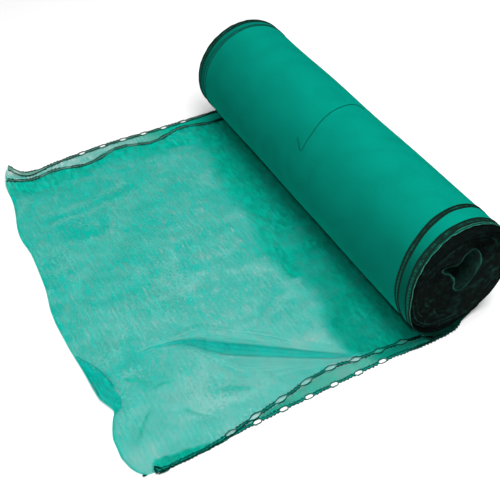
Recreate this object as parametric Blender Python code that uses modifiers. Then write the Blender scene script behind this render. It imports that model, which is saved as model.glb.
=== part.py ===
"""Roll of construction safety netting, with its loose end drawn out double on the floor.

Metres, +Z up. The roll's axis lies along Y, above X = 0. The loose end lies toward -X. The floor is Z = 0,
and the origin is on the floor under the middle of the roll.
"""
import math

import bmesh
import bpy
import numpy as np

# Wound roll
ROLL_RADIUS = 0.148
ROLL_LENGTH = 1.010
ROLL_STEPS = 60
ROLL_TURNS = 5
FLAT_DEPTH = 0.004
END_TAPER = 0.003
TAPER_LENGTH = 0.016
TURN_RIDGE = 0.003
TURN_GROOVE = 0.008
END_DISH = 0.008
END_WAVE = 0.002
CORE_CENTRE = (0.014, 0.028)
# Outline of the collapsed hollow round its centre, seen from the near end: angle in degrees, radius
CORE_OUTLINE = (
    (36, 0.042),
    (60, 0.050),
    (84, 0.063),
    (104, 0.056),
    (118, 0.043),
    (138, 0.046),
    (150, 0.080),
    (157, 0.080),
    (170, 0.043),
    (200, 0.031),
    (223, 0.034),
    (236, 0.046),
    (256, 0.060),
    (272, 0.061),
    (293, 0.051),
    (334, 0.038),
)

# Loose end, lying double
NET_THICKNESS = 0.0012
LAYER_RISE = 0.0024
ROOT_X = 0.036
LAYER_CLEARANCE = 0.0004
LOWER_STATIONS = 22
UPPER_STATIONS = 44
FOLD_STATIONS = 3
# Free end of the sheet, where it folds back, from its near corner to its far one: y, x
FREE_END = (
    (-0.515, -0.765),
    (-0.470, -0.803),
    (-0.400, -0.803),
    (-0.340, -0.784),
    (-0.250, -0.797),
    (-0.030, -0.803),
    (0.140, -0.783),
    (0.280, -0.788),
    (0.450, -0.760),
    (0.545, -0.742),
)

# Middle lines of the four eyelet bands: x, y
NEAR_LOWER_LINE = ((-0.78, -0.506), (-0.72, -0.511), (-0.40, -0.510), (0.04, -0.511))
NEAR_UPPER_LINE = (
    (-0.78, -0.499),
    (-0.70, -0.506),
    (-0.62, -0.504),
    (-0.50, -0.484),
    (-0.38, -0.466),
    (-0.30, -0.463),
    (-0.20, -0.476),
    (0.04, -0.484),
)
FAR_LOWER_LINE = (
    (-0.78, 0.517),
    (-0.60, 0.523),
    (-0.42, 0.530),
    (-0.25, 0.522),
    (0.04, 0.518),
)
FAR_UPPER_LINE = (
    (-0.78, 0.512),
    (-0.74, 0.496),
    (-0.68, 0.474),
    (-0.62, 0.482),
    (-0.53, 0.467),
    (-0.42, 0.491),
    (-0.32, 0.468),
    (-0.23, 0.488),
    (-0.12, 0.472),
    (0.04, 0.476),
)
BAND_HALF_WIDTH = 0.0085
BAND_SCALLOP = 0.002
BAND_GAP = 0.0008
NEAR_BAND_END = 0.026
FAR_BAND_END = 0.008
BAND_ROOT_X = 0.030
EYELET_PITCH = 0.065
EYELET_LENGTH = 0.024
EYELET_WIDTH = 0.0095
EYELET_STEPS = 4
BRIDGE_STEPS = 2
BRIDGE_WIDTH = 0.0016
FIRST_EYELET_X = -0.718

# Soft ridge that crosses the upper layer (x, y), the strip by the free end that is turned over on
# itself, the ruffle of the far edge and the corner that curls up
RIDGE_LINE = ((-0.66, -0.212), (-0.57, -0.237), (-0.50, -0.290), (-0.40, -0.364), (-0.24, -0.470))
RIDGE_HEIGHT = 0.009
RIDGE_WIDTH = 0.022
RIDGE_FADE = 0.08
TURNED_Y = -0.250
TURNED_HALF_LENGTH = 0.110
TURNED_WIDTH = 0.034
TURNED_HEIGHT = 0.0035
RUFFLE_HEIGHT = 0.006
RUFFLE_PITCH = 0.205
RUFFLE_X = -0.425
RUFFLE_REACH = 0.09
CORNER = (-0.750, 0.530)
CORNER_LIFT = 0.042
CORNER_REACH = 0.14

# Finishes: colour, roughness, metallic
NET_GREEN = ((0.004, 0.34, 0.25, 1.0), 0.62, 0.0)
BAND_DARK = ((0.008, 0.032, 0.024, 1.0), 0.60, 0.0)


def clear_scene():
    """Removes every object of the start-up scene."""
    for item in list(bpy.data.objects):
        bpy.data.objects.remove(item)


def finish(name, values):
    """A plain material from a finish row."""
    colour, roughness, metallic = values
    material = bpy.data.materials.new(name)
    material.use_nodes = True
    shader = material.node_tree.nodes["Principled BSDF"]
    shader.inputs["Base Color"].default_value = colour
    shader.inputs["Roughness"].default_value = roughness
    shader.inputs["Metallic"].default_value = metallic
    return material


def add_piece(name, bm, material, collection):
    """Puts a bmesh into the scene as one smooth-shaded object."""
    mesh = bpy.data.meshes.new(name)
    bm.to_mesh(mesh)
    bm.free()
    mesh.materials.append(material)
    mesh.shade_smooth()
    mesh.set_sharp_from_angle(angle=math.radians(50))
    piece = bpy.data.objects.new(name, mesh)
    collection.objects.link(piece)
    return piece


def along(table, at):
    """Reads the second column of a table at a value of the first, on straight runs."""
    first, second = np.array(table).T
    return np.interp(at, first, second)


def soft_along(table, at, spread=0.02):
    """The same, with the table's corners rounded over a named spread."""
    offsets = np.linspace(-spread, spread, 5)
    return np.mean([along(table, np.asarray(at) + offset) for offset in offsets], axis=0)


def fade(value, low, high):
    """Smooth step from 0 at low to 1 at high."""
    share = np.clip((np.asarray(value) - low) / (high - low), 0.0, 1.0)
    return share * share * (3 - 2 * share)


def free_end_x(y):
    """X of the sheet's folded free end at a place across the sheet."""
    return soft_along(FREE_END, y, 0.012)


def corner_lift(x, y):
    """Height of the curl at the far free corner, which both layers share."""
    reach = np.hypot(x - CORNER[0], y - CORNER[1]) / CORNER_REACH
    return CORNER_LIFT * np.clip(1 - reach, 0.0, 1.0) ** 2


def upper_lift(x, y):
    """Height of the ridge, the turned strip and the far edge's ruffle, on the upper layer alone."""
    ridge_y = soft_along(RIDGE_LINE, x, 0.03)
    inside = fade(x, RIDGE_LINE[0][0] - RIDGE_FADE, RIDGE_LINE[0][0] + RIDGE_FADE)
    inside = inside * fade(-x, -RIDGE_LINE[-1][0] - RIDGE_FADE, -RIDGE_LINE[-1][0] + RIDGE_FADE)
    ridge = RIDGE_HEIGHT * inside * np.exp(-(((y - ridge_y) / RIDGE_WIDTH) ** 2))
    wave = 0.5 + 0.5 * np.cos(2 * math.pi * (x - RUFFLE_X) / RUFFLE_PITCH)
    edge = along(FAR_UPPER_LINE, x)
    shore = fade(y, edge - RUFFLE_REACH, edge) * fade(-x, 0.06, 0.16)
    inward = x - free_end_x(y)
    away = fade(inward, 0.0, 0.08)
    lens = np.clip(1 - ((y - TURNED_Y) / TURNED_HALF_LENGTH) ** 2, 0.0, 1.0)
    turned = TURNED_HEIGHT * lens * (1 - fade(inward, 0.6 * TURNED_WIDTH, 1.3 * TURNED_WIDTH))
    return turned + away * (ridge + RUFFLE_HEIGHT * wave * shore)


def layer_height(x, y, upper):
    """Mid-height of the lower or the upper layer above the floor."""
    base = NET_THICKNESS / 2 + corner_lift(x, y)
    if upper:
        base = base + LAYER_RISE + upper_lift(x, y)
    return base


def sheet_edge(line, x, side):
    """Y of the net's edge beside a band, whose middle line is given; side is +1 for a far band."""
    return soft_along(line, x) - side * (BAND_HALF_WIDTH + BAND_GAP)


def across_shares():
    """Shares of the sheet's width at its rows, closer together by both edges."""
    near = np.linspace(0.0, 0.34, 14)
    middle = np.linspace(0.34, 0.90, 8)[1:]
    far = np.linspace(0.90, 1.0, 4)[1:]
    return np.concatenate([near, middle, far])


def sheet_layer(shares, stations, upper):
    """Grid of one layer: rows along X from the root to the fold, columns across the sheet."""
    near_line = NEAR_UPPER_LINE if upper else NEAR_LOWER_LINE
    far_line = FAR_UPPER_LINE if upper else FAR_LOWER_LINE
    middle_y = np.linspace(sheet_edge(NEAR_LOWER_LINE, 0, -1), sheet_edge(FAR_LOWER_LINE, 0, 1), len(shares))
    y = np.tile(middle_y, (len(stations), 1))
    for _ in range(3):
        x = ROOT_X + (free_end_x(y) + LAYER_RISE / 2 - ROOT_X) * stations[:, None]
        near = sheet_edge(near_line, x, -1)
        far = sheet_edge(far_line, x, 1)
        y = near + (far - near) * shares[None, :]
    return np.stack([x, y, layer_height(x, y, upper)], axis=2)


def sheet_fold(lower, upper):
    """Half turn that joins the two layers at the free end, between their last rows."""
    start, stop = lower[-1], upper[0]
    rows = []
    for turn in np.linspace(0, math.pi, FOLD_STATIONS + 2)[1:-1]:
        share = (1 - math.cos(turn)) / 2
        row = start + (stop - start) * share
        row[:, 0] -= LAYER_RISE / 2 * math.sin(turn)
        rows.append(row)
    return np.array(rows)


def grid_mesh(points):
    """Open surface through a grid of points, one quad for each cell."""
    rows, columns = points.shape[:2]
    bm = bmesh.new()
    verts = [[bm.verts.new(points[i, j]) for j in range(columns)] for i in range(rows)]
    for i in range(rows - 1):
        for j in range(columns - 1):
            bm.faces.new((verts[i][j], verts[i + 1][j], verts[i + 1][j + 1], verts[i][j + 1]))
    return bm


def thicken(piece):
    """Gives an open net surface its thickness, half to each side."""
    solid = piece.modifiers.new("net thickness", "SOLIDIFY")
    solid.thickness = NET_THICKNESS
    solid.offset = 0.0
    solid.use_even_offset = True


def build_loose_end(material, collection):
    """The doubled loose end: lower layer, fold and upper layer as one section, then thickened."""
    shares = across_shares()
    close_in = 1 - np.linspace(1.0, 0.0, LOWER_STATIONS) ** 1.3
    lower = sheet_layer(shares, close_in, upper=False)
    upper = sheet_layer(shares, np.linspace(1.0, 0.0, UPPER_STATIONS), upper=True)
    points = np.concatenate([lower, sheet_fold(lower, upper), upper])
    piece = add_piece("loose_end", grid_mesh(points), material, collection)
    thicken(piece)
    return piece


def band_stations(line, side):
    """X of each cross row of a band, and how far the two rails stand apart there."""
    setback = FAR_BAND_END if side > 0 else NEAR_BAND_END
    start = float(free_end_x(soft_along(line, FIRST_EYELET_X))) + setback
    stations = [(start, BRIDGE_WIDTH)]
    centre = FIRST_EYELET_X
    while centre + EYELET_LENGTH / 2 < BAND_ROOT_X:
        if centre - EYELET_LENGTH / 2 > start + BRIDGE_WIDTH:
            for step in range(EYELET_STEPS + 1):
                place = 2 * step / EYELET_STEPS - 1
                width = max(EYELET_WIDTH * (1 - place * place), BRIDGE_WIDTH)
                stations.append((centre + place * EYELET_LENGTH / 2, width))
            for step in range(1, BRIDGE_STEPS):
                bridge = (EYELET_PITCH - EYELET_LENGTH) * step / BRIDGE_STEPS
                stations.append((centre + EYELET_LENGTH / 2 + bridge, BRIDGE_WIDTH))
        centre += EYELET_PITCH
    stations.append((BAND_ROOT_X, BRIDGE_WIDTH))
    return np.array([row for row in stations if row[0] <= BAND_ROOT_X])


def build_band(name, line, side, upper, material, collection):
    """An eyelet band: two rails that part round each eyelet and are bridged between them."""
    stations = band_stations(line, side)
    x, apart = stations.T
    middle = soft_along(line, x)
    scallop = BAND_SCALLOP * np.cos(2 * math.pi * (x - FIRST_EYELET_X) / EYELET_PITCH)
    across = np.stack(
        [
            middle - side * BAND_HALF_WIDTH,
            middle - side * apart / 2,
            middle + side * apart / 2,
            middle + side * (BAND_HALF_WIDTH - BAND_SCALLOP + scallop),
        ],
        axis=1,
    )
    along_x = np.repeat(x[:, None], across.shape[1], axis=1)
    points = np.stack([along_x, across, layer_height(along_x, across, upper)], axis=2)
    bm = grid_mesh(points)
    bm.faces.ensure_lookup_table()
    columns = across.shape[1] - 1
    open_cells = []
    for i in range(len(x) - 1):
        if max(apart[i], apart[i + 1]) > BRIDGE_WIDTH:
            open_cells.append(bm.faces[i * columns + 1])
    bmesh.ops.delete(bm, geom=open_cells, context="FACES")
    if side > 0:
        bmesh.ops.reverse_faces(bm, faces=bm.faces)
    piece = add_piece(name, bm, material, collection)
    thicken(piece)
    return piece


def roll_section(shares, y):
    """Points of the roll between its outer surface (share 0) and its hollow (share 1) at each angle."""
    angle = 2 * math.pi * np.arange(ROLL_STEPS) / ROLL_STEPS
    way = np.stack([np.cos(angle), np.sin(angle)], axis=1)
    rise = roll_base() + ROLL_RADIUS - FLAT_DEPTH
    reach = ROLL_LENGTH / 2 - abs(y)
    radius = ROLL_RADIUS - END_TAPER * (1 - fade(reach, 0.0, TAPER_LENGTH))
    outer = radius * way
    outer[:, 1] = np.maximum(outer[:, 1], FLAT_DEPTH - ROLL_RADIUS)
    degrees, radii = np.array(CORE_OUTLINE).T
    core_radius = np.interp(np.degrees(angle), degrees, radii, period=360)
    core = np.array(CORE_CENTRE) + core_radius[:, None] * way
    point = outer + (core - outer) * np.asarray(shares)[:, None]
    return np.stack([point[:, 0], np.full(ROLL_STEPS, y), point[:, 1] + rise], axis=1)


def roll_base():
    """Height of the roll's flat spot, just clear of the two layers under it."""
    return NET_THICKNESS + LAYER_RISE + LAYER_CLEARANCE


def ring(bm, share, y):
    """A closed row of vertices round the roll at one share and one place along it."""
    points = roll_section(np.full(ROLL_STEPS, share), y)
    return [bm.verts.new(point) for point in points]


def bridge_rings(bm, first, second, flip):
    """Quads between two closed rows of vertices."""
    for j in range(ROLL_STEPS):
        k = (j + 1) % ROLL_STEPS
        quad = [first[j], first[k], second[k], second[j]]
        bm.faces.new(reversed(quad) if flip else quad)


def spiral_end(bm, rim, hollow, side):
    """End face of the roll: one spiral ridge and one spiral groove from the rim in to the hollow.

    Line k is a ridge when k is even and a groove when it is odd. At step j round the roll it lies at
    the share (j + k * steps / 2) / (steps * turns) of the way in. Where that share leaves the range 0 to 1
    the line joins the rim or the hollow.
    """
    whole = ROLL_STEPS * ROLL_TURNS
    half = ROLL_STEPS // 2
    made = {}

    def vertex(j, k):
        if j == ROLL_STEPS:
            j, k = 0, k + 2
        count = j + k * half
        if count <= 0:
            return rim[j]
        if count >= whole:
            return hollow[j]
        if (j, k) not in made:
            share = count / whole
            wave = END_WAVE * math.sin(6 * math.pi * j / ROLL_STEPS + 9 * share)
            depth = TURN_GROOVE if k % 2 else -TURN_RIDGE
            y = side * (ROLL_LENGTH / 2 - depth - END_DISH * share + wave)
            point = roll_section(np.full(ROLL_STEPS, share), side * ROLL_LENGTH / 2)[j]
            point[1] = y
            made[(j, k)] = bm.verts.new(point)
        return made[(j, k)]

    for j in range(ROLL_STEPS):
        for k in range(-2, 2 * ROLL_TURNS + 1):
            corners = [vertex(j, k), vertex(j + 1, k), vertex(j + 1, k + 1), vertex(j, k + 1)]
            corners = list(dict.fromkeys(corners))
            if len(corners) > 2:
                bm.faces.new(corners if side < 0 else reversed(corners))


def build_roll(material, collection):
    """The wound net as one solid: outer surface, two spiral ends and the hollow right through."""
    half = ROLL_LENGTH / 2
    bm = bmesh.new()
    outside = [-half, -half + TAPER_LENGTH, -half / 2, 0.0, half / 2, half - TAPER_LENGTH, half]
    outer = [ring(bm, 0.0, y) for y in outside]
    hollow = [ring(bm, 1.0, y) for y in (-half + END_DISH, 0.0, half - END_DISH)]
    for first, second in zip(outer, outer[1:]):
        bridge_rings(bm, first, second, flip=True)
    for first, second in zip(hollow, hollow[1:]):
        bridge_rings(bm, first, second, flip=False)
    spiral_end(bm, outer[0], hollow[0], side=-1)
    spiral_end(bm, outer[-1], hollow[-1], side=1)
    return add_piece("net_roll", bm, material, collection)


def main():
    clear_scene()
    collection = bpy.data.collections.new("safety_netting_roll")
    bpy.context.scene.collection.children.link(collection)
    net = finish("net green", NET_GREEN)
    dark = finish("band dark green", BAND_DARK)
    build_roll(net, collection)
    build_loose_end(net, collection)
    build_band("eyelet_band_near_lower", NEAR_LOWER_LINE, -1, False, dark, collection)
    build_band("eyelet_band_near_upper", NEAR_UPPER_LINE, -1, True, dark, collection)
    build_band("eyelet_band_far_lower", FAR_LOWER_LINE, 1, False, dark, collection)
    build_band("eyelet_band_far_upper", FAR_UPPER_LINE, 1, True, dark, collection)


main()
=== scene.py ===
"""Looks of a roll of green construction safety netting, with its loose end drawn out double.

Metres, +Z up, in the part's own frame: the roll's axis lies along Y above x = 0, and its loose end lies
toward -X on the floor, z = 0. Near means the -Y end and far the +Y end.
"""
import math

import bpy
import numpy as np
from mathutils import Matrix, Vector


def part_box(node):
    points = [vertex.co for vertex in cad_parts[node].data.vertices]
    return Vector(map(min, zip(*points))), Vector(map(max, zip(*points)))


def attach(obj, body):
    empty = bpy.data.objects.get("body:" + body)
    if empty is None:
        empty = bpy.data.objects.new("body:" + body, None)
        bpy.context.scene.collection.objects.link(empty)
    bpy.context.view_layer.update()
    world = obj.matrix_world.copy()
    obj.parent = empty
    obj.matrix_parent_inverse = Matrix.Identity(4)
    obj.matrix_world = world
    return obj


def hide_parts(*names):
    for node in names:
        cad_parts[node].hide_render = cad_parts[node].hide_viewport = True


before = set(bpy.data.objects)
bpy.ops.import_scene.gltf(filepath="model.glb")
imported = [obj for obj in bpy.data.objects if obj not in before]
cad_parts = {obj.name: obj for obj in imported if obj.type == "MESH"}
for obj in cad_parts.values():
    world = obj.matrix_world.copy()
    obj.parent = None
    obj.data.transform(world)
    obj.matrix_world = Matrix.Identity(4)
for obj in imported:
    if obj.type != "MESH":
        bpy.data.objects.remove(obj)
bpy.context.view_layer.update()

# Wound roll, with its radius and heights measured on the frame
roll_low, roll_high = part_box("net_roll")
ROLL_RADIUS = (roll_high.x - roll_low.x) / 2
ROLL_CENTRE_Z = roll_high.z - ROLL_RADIUS
ROLL_FLOOR = roll_low.z
ROLL_HALF_LENGTH = 0.505
ROLL_COLUMNS = 300
SKIN_ROWS = 120
SKIN_SWELL = 0.0010
SKIN_SWELL_PITCH = 0.32
SKIN_DRAW_IN = 0.0012
SKIN_COVER = 0.15
EDGE_BAND_COVER = 0.25
FAR_EDGE_SHADE = 0.25
# Painted shade of the outer turn round the roll, darker towards its lower side: angle in degrees, share
SKIN_SHADE = (
    (45, 0.0), (90, 0.03), (105, 0.14), (125, 0.29), (145, 0.43), (170, 0.45), (185, 0.40), (196, 0.27),
    (206, 0.10), (225, 0.05),
)

# Collapsed hollow at the roll's middle, seen from the near end: angle in degrees, radius
CORE_CENTRE = (0.014, 0.028)
CORE_OUTLINE = (
    (36, 0.042), (60, 0.050), (84, 0.063), (104, 0.056), (118, 0.043), (138, 0.046), (150, 0.080),
    (157, 0.080), (170, 0.043), (200, 0.031), (223, 0.034), (236, 0.046), (256, 0.060), (272, 0.061),
    (293, 0.051), (334, 0.038),
)

# Turns at the roll's ends
TURNS = 21
# Rows of points for each of a turn's two layers
NEAR_END_ROWS = 4
FAR_END_ROWS = 3
SHOULDER_ROWS = 34
SHOULDER_TURNS = 3
SHOULDER_DROP = 0.004
SHOULDER_TUCK = 0.008
SHOULDER_RELIEF = 0.0016
# How far the turn under the outer one lies in, and the end's face from the roll's length
SECOND_TURN_IN = 0.0022
END_FACE_IN = 0.006
# What V spans from the shoulder to the hollow
END_DEPTH = 0.12
TURN_RELIEF = 0.0030
TURN_SPREAD = 0.0027
END_DISH = 0.008
# Folds of single turns that stand out of the ends, dull green: angles in degrees, shares, width, strength
END_FOLDS = (
    (165, 238, 0.035, 0.060, 0.010, 0.75),
    (176, 250, 0.105, 0.150, 0.012, 0.60),
    (186, 222, 0.230, 0.215, 0.012, 0.40),
    (195, 214, 0.380, 0.400, 0.020, 0.45),
    (36, 60, 0.420, 0.330, 0.035, 0.50),
    (62, 84, 0.300, 0.240, 0.014, 0.35),
    (228, 262, 0.420, 0.330, 0.016, 0.35),
    (252, 290, 0.200, 0.260, 0.020, 0.30),
    (320, 352, 0.460, 0.380, 0.022, 0.28),
    (100, 132, 0.180, 0.150, 0.010, 0.35),
)
END_FOLD_RELIEF = 0.0022
CORE_LIP = 0.0035
# The lip's share of the way in, and its width
CORE_LIP_PLACE = (0.985, 0.018)
LINING_ROWS = 12
LINING_FOLD = 0.0015
LINING_GIRTH = 0.30
LINING_DULL = 0.28

# Lines round the roll: angle in degrees (0 is +X, 90 is up), y
NEAR_INSET_RING = (
    (-90, -0.486), (-45, -0.466), (0, -0.438), (45, -0.412), (90, -0.415), (110, -0.422), (135, -0.437),
    (157, -0.449), (180, -0.461), (198, -0.473), (225, -0.483), (270, -0.486),
)
NEAR_EDGE_RING = (
    (-90, -0.506), (-60, -0.490), (-30, -0.486), (0, -0.478), (45, -0.466), (90, -0.463), (112, -0.466),
    (134, -0.473), (152, -0.482), (171, -0.494), (185, -0.501), (225, -0.506), (270, -0.506),
)
NEAR_SELVEDGE_RING = (
    (-90, -0.516), (-72, -0.504), (-45, -0.498), (0, -0.491), (45, -0.481), (90, -0.477), (112, -0.478),
    (137, -0.487), (157, -0.495), (171, -0.505), (190, -0.511), (225, -0.515), (270, -0.516),
)
FAR_INSET_RING = ((-90, 0.476), (0, 0.470), (90, 0.466), (150, 0.462), (200, 0.468), (270, 0.476))
FAR_EDGE_RING = ((-90, 0.506), (0, 0.497), (90, 0.494), (150, 0.492), (200, 0.498), (270, 0.506))
FAR_SELVEDGE_RING = ((-90, 0.512), (0, 0.506), (90, 0.503), (150, 0.502), (200, 0.506), (270, 0.512))
# Widths of the bands on those lines, and half widths of their rails
NEAR_INSET_WIDTH = 0.0095
NEAR_EDGE_WIDTH = 0.0125
FAR_INSET_WIDTH = 0.0080
FAR_EDGE_WIDTH = 0.0120
NEAR_TAPE_RAIL = 0.0029
FAR_TAPE_RAIL = 0.0013
TAPE_RISE = 0.0013
TAPE_PROUD = 0.0002
TAPE_EDGE_DROP = 0.0008
LADDER_PITCH = 0.0085
# Angle in radians that the lines leave open on each side of the roll's lowest line
RING_GAP = 0.05
# Cords of the outer turn's edges: name, line, how far out from it, how far proud of the turn
SELVEDGES = (
    ("near_selvedge", NEAR_SELVEDGE_RING, 0.0, -0.0002),
    ("near_second_selvedge", NEAR_SELVEDGE_RING, 0.0055, 0.0001),
    ("far_selvedge", FAR_SELVEDGE_RING, 0.0, -0.0002),
)
SELVEDGE_POINTS = 640
SELVEDGE_HALF_WIDTH = 0.0009
SELVEDGE_HALF_HEIGHT = 0.0008
SELVEDGE_WAVER = 0.0010

# Loose end, lying double
LAYER_BASE = 0.0006
LAYER_RISE = 0.0024
ROOT_X = 0.036
PLEAT_COLUMNS = 170
PLEAT_SHARE = 0.36
FAR_COLUMNS = 124
# How often the places of the rows and columns are worked out in turns, from a first guess of x
PLAN_PASSES = 4
PLAN_GUESS = -0.4
LOWER_ROWS = 64
UPPER_ROWS = 225
SWELL_HEIGHT = 0.0012
SWELL_PITCH = 0.16
UPPER_SWELL_HEIGHT = 0.0010
UPPER_SWELL_PITCH = 0.09
# Free end, where the sheet folds back, from its near corner to its far one: y, x
FREE_END = (
    (-0.525, -0.752), (-0.512, -0.776), (-0.500, -0.790), (-0.480, -0.801), (-0.452, -0.808),
    (-0.400, -0.806), (-0.380, -0.799), (-0.357, -0.789), (-0.338, -0.777), (-0.325, -0.783),
    (-0.296, -0.795), (-0.266, -0.797), (-0.204, -0.799), (-0.137, -0.804), (-0.050, -0.806),
    (-0.001, -0.803), (0.031, -0.797), (0.065, -0.791), (0.139, -0.786), (0.200, -0.783),
    (0.263, -0.790), (0.305, -0.787), (0.343, -0.778), (0.383, -0.769), (0.426, -0.763),
    (0.474, -0.763), (0.502, -0.7585), (0.508, -0.754), (0.514, -0.744), (0.524, -0.746),
    (0.536, -0.747), (0.556, -0.743),
)
# Width of the strip that is turned over on itself at the free end: y, width
TURNED_STRIP = (
    (-0.348, 0.0), (-0.340, 0.010), (-0.330, 0.022), (-0.309, 0.036), (-0.271, 0.040), (-0.235, 0.034),
    (-0.205, 0.025), (-0.185, 0.015), (-0.150, 0.0),
)
TURNED_RISE = 0.0016
TURNED_LEAST = 0.0015
TURNED_COVER = 0.34
TURN_ROWS = 8
FLAP_ROWS = 9

# Middle lines of the four eyelet bands: x, y
NEAR_LOWER_LINE = (
    (-0.79, -0.511), (-0.72, -0.517), (-0.64, -0.517), (-0.58, -0.513), (-0.55, -0.5106),
    (-0.40, -0.5102), (-0.175, -0.5106), (-0.14, -0.514), (-0.10, -0.519), (-0.05, -0.520),
    (0.00, -0.519), (0.02, -0.512), (0.04, -0.500),
)
NEAR_UPPER_LINE = (
    (-0.79, -0.510), (-0.72, -0.516), (-0.66, -0.516), (-0.62, -0.5145), (-0.585, -0.5095),
    (-0.52, -0.4975), (-0.45, -0.4885), (-0.38, -0.4760), (-0.31, -0.4690), (-0.25, -0.4795),
    (-0.19, -0.4845), (-0.123, -0.4900), (-0.085, -0.499), (0.04, -0.500),
)
FAR_LOWER_LINE = (
    (-0.78, 0.548), (-0.750, 0.535), (-0.725, 0.519), (-0.690, 0.509), (-0.645, 0.514), (-0.60, 0.5225),
    (-0.55, 0.5247), (-0.50, 0.5271), (-0.42, 0.5299), (-0.25, 0.522), (0.04, 0.518),
)
FAR_UPPER_LINE = (
    (-0.78, 0.512), (-0.74, 0.496), (-0.68, 0.474), (-0.62, 0.482), (-0.53, 0.467), (-0.42, 0.491),
    (-0.32, 0.468), (-0.23, 0.488), (-0.12, 0.472), (0.04, 0.476),
)
# The four lines by side, -1 near and 1 far, and whether they lie on the upper layer
BAND_LINES = {
    (-1, False): NEAR_LOWER_LINE,
    (-1, True): NEAR_UPPER_LINE,
    (1, False): FAR_LOWER_LINE,
    (1, True): FAR_UPPER_LINE,
}
BAND_ROOT_X = 0.030
BAND_PROUD = 0.0003
NEAR_BAND_END = 0.014
FAR_BAND_END = 0.008
EYELET_PITCH = 0.065
# Eyelets of the upper and the lower bands: length, width, bluntness
UPPER_EYELET = (0.031, 0.0098, 1.7)
LOWER_EYELET = (0.0184, 0.0078, 8)
FIRST_EYELET_X = -0.718
# How far the upper layer's eyelets have slipped along their band, where it is most, and its reach
EYELET_SLIP = (0.016, 0.405, 0.15)
# Shares of their width that nearly shut eyelets keep, and where along X they open and shut again
SHUT_FAR = 0.30
SHUT_UPPER = 0.25
SHUT_LOWER = 0.15
UPPER_OPEN_FROM = (-0.66, -0.56)
LOWER_OPEN_FROM = (-0.570, -0.540)
LOWER_OPEN_TO = (-0.180, -0.160)

# Two dark knitted rails of a band, which part round each eyelet, with a web between them elsewhere
RAIL_HALF_WIDTH = 0.0012
RAIL_HALF_HEIGHT = 0.0009
RAIL_ASIDE = 0.0016
FAR_RAIL_WIDER = 1.8
RAIL_WANDER = 0.0017
KNOT_PITCH = 0.0094
KNOT_SWELL = 1.0
# Opening of an eyelet at which knots are gone
KNOT_FADE = 0.0005
# Width of the web that one unit of its V stands for
WEB_UNIT = 0.004
TUBE_SIDES = 8
# Spread of the far lower band's rails at the curled corner, and where along X it ends
FAR_CORNER_SPREAD = 0.0050
FAR_CORNER_FROM = (-0.690, -0.625)
STITCH_LENGTH = 0.0042
STITCH_STEPS = 4
STITCH_RELIEF = 0.14

# Loose thread ends at the near free corner: x, y
CORNER_THREADS = (
    (
        (-0.744, -0.514), (-0.755, -0.503), (-0.757, -0.501), (-0.7575, -0.509), (-0.757, -0.517),
        (-0.755, -0.5205), (-0.746, -0.5205), (-0.734, -0.522),
    ),
    ((-0.7585, -0.505), (-0.7585, -0.518)),
    ((-0.786, -0.508), (-0.782, -0.510), (-0.778, -0.512)),
)
CORNER_THREAD = 0.0016
CORNER_THREAD_HALF_HEIGHT = 0.0009
CORNER_THREAD_PROUD = 0.0006

# Flat pleat that crosses the upper layer: x, y of its middle, width of its overlap
PLEAT = (
    (-0.660, -0.220, 0.000),
    (-0.644, -0.223, 0.005),
    (-0.572, -0.240, 0.011),
    (-0.532, -0.270, 0.024),
    (-0.496, -0.306, 0.036),
    (-0.456, -0.333, 0.035),
    (-0.415, -0.360, 0.031),
    (-0.375, -0.388, 0.026),
    (-0.335, -0.415, 0.022),
    (-0.275, -0.455, 0.015),
    (-0.232, -0.475, 0.000),
)
PLEAT_FOLD = 2.8
PLEAT_REACH_OF_WIDTH = 0.85
PLEAT_RISE = 0.0011
# Darker lines along the pleat: place across it over its reach, width, strength
PLEAT_LINES = ((1.22, 0.13, 0.55), (0.98, 0.06, 0.35), (0.70, 0.10, 0.30), (-1.50, 0.25, 0.18))
# Place across the pleat where its wavering lines end, and their pitches across and along
PLEAT_LINES_REACH = 2.6
WAVER_PITCHES = (0.20, 0.12)

# Short creases (x, y, x, y, bend), ruffles of the far edge and the curled corner
CREASES = (
    (-0.735, -0.272, -0.679, -0.307, 0.0),
    (-0.764, -0.440, -0.704, -0.375, 0.006),
    (-0.650, -0.400, -0.598, -0.457, -0.005),
    (-0.690, -0.330, -0.640, -0.330, 0.004),
    (-0.560, -0.400, -0.500, -0.430, 0.003),
)
CREASE_HEIGHT = 0.0022
CREASE_WIDTH = 0.0038
RUFFLE_HEIGHT = 0.006
RUFFLE_PITCH = 0.205
RUFFLE_X = -0.425
RUFFLE_REACH = 0.09
CORNER = (-0.745, 0.542)
CORNER_LIFT = 0.066
CORNER_REACH = 0.088

# Knit: chains of stitches a wale apart, and an inlaid thread that zigzags between them
WALE_PITCH = 0.0026
COURSE_PITCH = 0.0031
# Half widths of a chain and of the inlay in wales, what full cover adds to them, and a chain's swelling
CHAIN_HALF = 0.150
CHAIN_HALF_GROWTH = 0.17
CHAIN_BEAT = 0.20
INLAY_HALF = 0.125
INLAY_HALF_GROWTH = 0.14
# Height of the inlay over a chain's, sharpness of a thread's edge, and how far threads slip aside
INLAY_HEIGHT = 0.6
THREAD_EDGE = 6.0
WALE_SLIP = 0.0018
LEAST_COVER = -0.30
# Streaks in the net: size across, size along, strength
GRAIN_STREAKS = ((0.030, 0.0090, 1.0), (0.014, 0.0050, 0.7), (0.0060, 0.0065, 0.6))
# Bars across the net where its courses gather: distance apart and strength
BAR_PITCH = 0.0115
BAR_STRENGTH = 0.045
# Darker tones of the loose end, where 1 is its shaded green and more turns it black: the strip past the far
# upper band, and the painted shadow under the roll
FAR_STRIP_SHADE = 0.22
UNDER_ROLL_SHADE = 1.4
# What the net's cover gains in its fuller parts
BESIDE_COVER = 0.62
FAR_COVER = 0.40
CORNER_COVER = 0.85
FREE_END_COVER = 0.45
CREASE_COVER = 0.75
NEAR_STRIP_COVER = 1.1
COVER_LIMITS = (-0.5, 1.6)
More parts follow.
